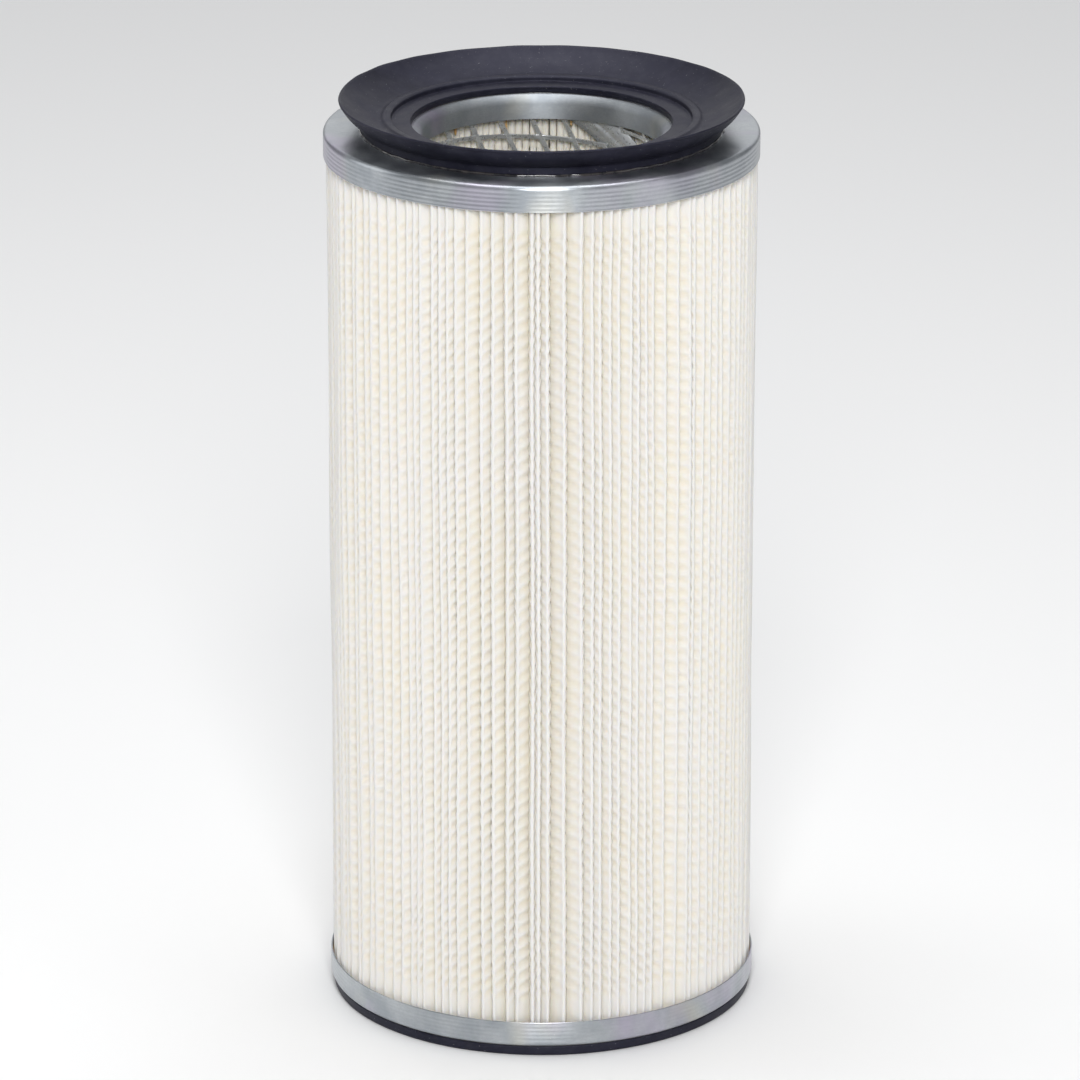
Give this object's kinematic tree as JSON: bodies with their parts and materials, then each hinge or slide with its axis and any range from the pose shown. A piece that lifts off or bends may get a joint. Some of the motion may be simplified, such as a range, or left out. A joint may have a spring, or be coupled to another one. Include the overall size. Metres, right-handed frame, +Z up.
{
  "type": "dust collector filter cartridge",
  "caption": "Pleated cartridge filter element for a dust collector: steel end caps, pleated medium round an expanded-metal core, flared rubber lip seal on top and a flat gasket below.",
  "frame": {"origin": "centre of the bottom gasket's underside, the face that it stands on", "axes": "+Z up along the cartridge's axis, from the flat gasket to the lip seal; -Y faces the valley where the pleat pack is glued"},
  "size_m": [0.16, 0.16, 0.346],
  "materials": {
    "zinc_steel": "zinc-plated drawn sheet, satin, faint forming lines",
    "core_steel": "galvanised expanded metal, bright cut edges",
    "seal_rubber": "matt black moulded rubber with a little dust",
    "filter_medium": "cream nonwoven polyester, corrugated and pleated",
    "potting_resin": "cast polyurethane, amber",
    "seam_glue": "dried cream adhesive",
    "clear_glue": "glossy contact adhesive"
  },
  "bodies": {
    "root": {"top_end_cap": "zinc_steel", "bottom_end_cap": "zinc_steel", "lip_seal": "seal_rubber", "lip_seal_adhesive": "clear_glue", "bottom_gasket": "seal_rubber", "bottom_gasket_adhesive": "clear_glue", "pleated_medium": "filter_medium", "medium_seam_bead": "seam_glue", "support_core": "core_steel", "top_potting": "potting_resin", "bottom_potting": "potting_resin", "potting_drips": "potting_resin"}
  },
  "joints": []
}
